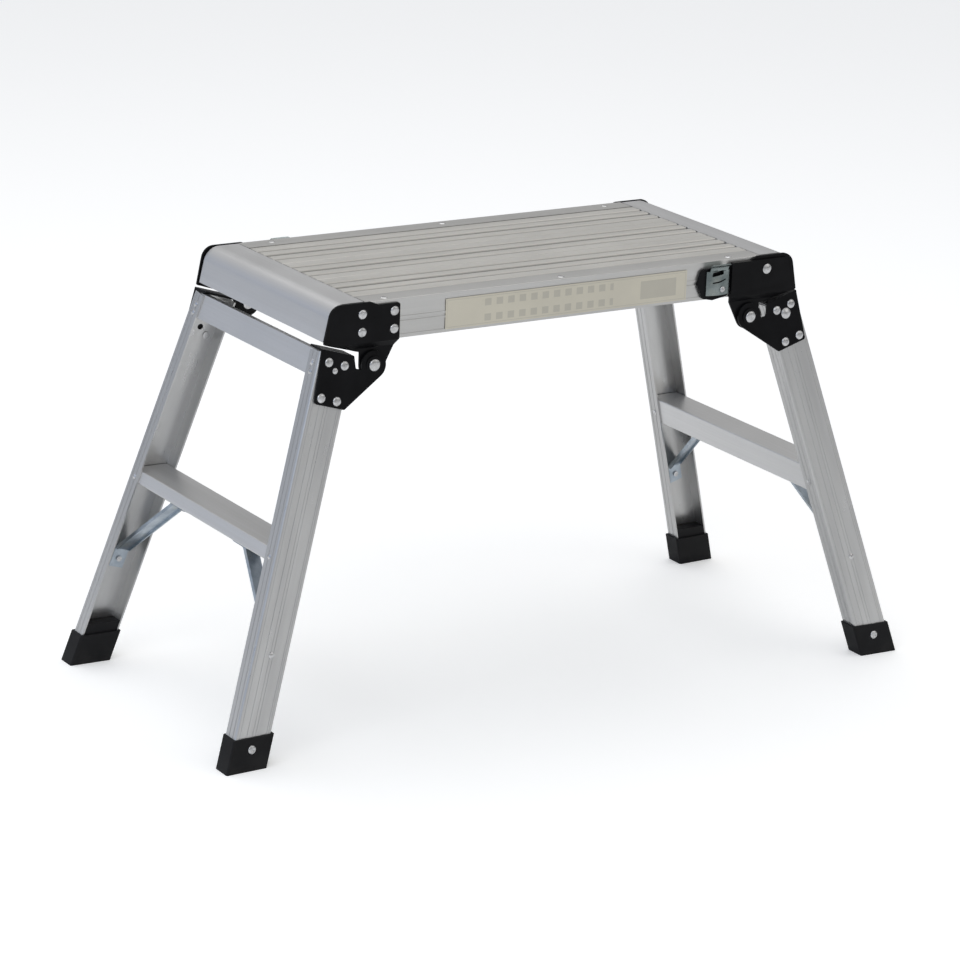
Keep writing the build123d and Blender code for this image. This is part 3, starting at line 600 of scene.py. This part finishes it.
for side in ("right", "left"):
    frameBody = side + "_leg_frame"
    setRivets(side + "LegPlateRivets", "leg_plate_rivets_" + side, frameBody, legPlateRivet, outOfWeb,
              rivetNodes)
    setRivets(side + "FootRivets", "foot_rivets_" + side, frameBody, footRivet, outOfWeb, rivetNodes)
print("rivets set")


# floor, light and camera

studio = {"floorColour": (0.93, 0.93, 0.92), "floorSize": 14.0, "worldTop": (1.0, 1.0, 1.0),
          "worldLow": (0.40, 0.40, 0.41), "worldStrength": 0.68, "floorGlow": 0.30}


def makeFloor():
    mesh = bpy.data.meshes.new("studioFloor")
    half = studio["floorSize"]
    corners = [(-half, -half, 0), (half, -half, 0), (half, half, 0), (-half, half, 0)]
    mesh.from_pydata(corners, [], [(0, 1, 2, 3)])
    floor = bpy.data.objects.new("studioFloor", mesh)
    bpy.context.scene.collection.objects.link(floor)
    material, tree, shader, vector = newMaterial("floorPaint")
    soft = noiseAt(tree, vector, 3.0, 2.0)
    colour = mixColour(tree, scaled(tree, soft, 0.0, 0.25), studio["floorColour"], (0.90, 0.90, 0.90))
    tree.links.new(colour, shader.inputs["Base Color"])
    shader.inputs["Roughness"].default_value = 0.8
    # a glow that only the camera sees, so the floor looks paler than the light it throws back
    path = addNode(tree, "ShaderNodeLightPath")
    shader.inputs["Emission Color"].default_value = (1, 1, 1, 1)
    glow = times(tree, path.outputs["Is Camera Ray"], studio["floorGlow"])
    tree.links.new(glow, shader.inputs["Emission Strength"])
    mesh.materials.append(material)


def makeWorld():
    world = bpy.data.worlds.new("studioWorld")
    bpy.context.scene.world = world
    world.use_nodes = True
    tree = world.node_tree
    tree.nodes.clear()
    output = addNode(tree, "ShaderNodeOutputWorld")
    background = addNode(tree, "ShaderNodeBackground")
    coordinate = addNode(tree, "ShaderNodeTexCoord")
    split = addNode(tree, "ShaderNodeSeparateXYZ")
    tree.links.new(coordinate.outputs["Generated"], split.inputs[0])
    height = rampFrom(tree, split.outputs[2], -0.15, 0.75)
    colour = mixColour(tree, height, studio["worldLow"], studio["worldTop"])
    cool = rampFrom(tree, times(tree, split.outputs[0], -1.0), 0.2, 1.0)
    colour = mixColour(tree, scaled(tree, cool, 0.0, 0.8), colour, (0.70, 0.84, 1.12))
    shade = rampFrom(tree, split.outputs[0], -0.1, 1.0)
    colour = mixColour(tree, scaled(tree, shade, 0.0, 0.5), colour, (0.30, 0.30, 0.29))
    tree.links.new(colour, background.inputs["Color"])
    background.inputs["Strength"].default_value = studio["worldStrength"]
    tree.links.new(background.outputs[0], output.inputs[0])


def softLight(name, place, target, size, power, colour=(1, 1, 1)):
    light = bpy.data.lights.new(name, "AREA")
    light.shape = "RECTANGLE"
    light.size, light.size_y = size
    light.energy = power
    light.color = colour
    obj = bpy.data.objects.new(name, light)
    obj.location = place
    obj.rotation_euler = (Vector(target) - Vector(place)).to_track_quat("-Z", "Y").to_euler()
    bpy.context.scene.collection.objects.link(obj)


def makeCamera():
    view = {"place": (-2.3312, -3.6583, 1.5668), "yaw": 32.33, "pitch": 17.22, "roll": 2.13, "lens": 141.77}
    yaw, pitch, roll = (math.radians(view[k]) for k in ("yaw", "pitch", "roll"))
    forward = Vector((math.sin(yaw) * math.cos(pitch), math.cos(yaw) * math.cos(pitch), -math.sin(pitch)))
    right = Vector((math.cos(yaw), -math.sin(yaw), 0))
    up = right.cross(forward)
    turnedRight = right * math.cos(roll) + up * math.sin(roll)
    turnedUp = up * math.cos(roll) - right * math.sin(roll)
    data = bpy.data.cameras.new("studioCamera")
    data.lens = view["lens"]
    data.sensor_width = 36.0
    camera = bpy.data.objects.new("studioCamera", data)
    pose = Matrix((turnedRight, turnedUp, -forward)).transposed().to_4x4()
    camera.matrix_world = Matrix.Translation(view["place"]) @ pose
    bpy.context.scene.collection.objects.link(camera)
    bpy.context.scene.camera = camera


makeFloor()
makeWorld()
softLight("keyLight", (-2.6, -1.8, 2.9), (0, 0, 0.3), (2.6, 2.2), 30.0, (0.96, 0.98, 1.0))
softLight("fillLight", (2.4, -2.6, 2.0), (0, 0, 0.3), (2.4, 1.8), 7.0, (1.0, 0.98, 0.95))
softLight("topLight", (0.3, 0.9, 3.2), (0, 0, 0.4), (2.8, 2.8), 26.0)
makeCamera()
bpy.context.scene.view_settings.view_transform = "Standard"
print("floor, light and camera set")
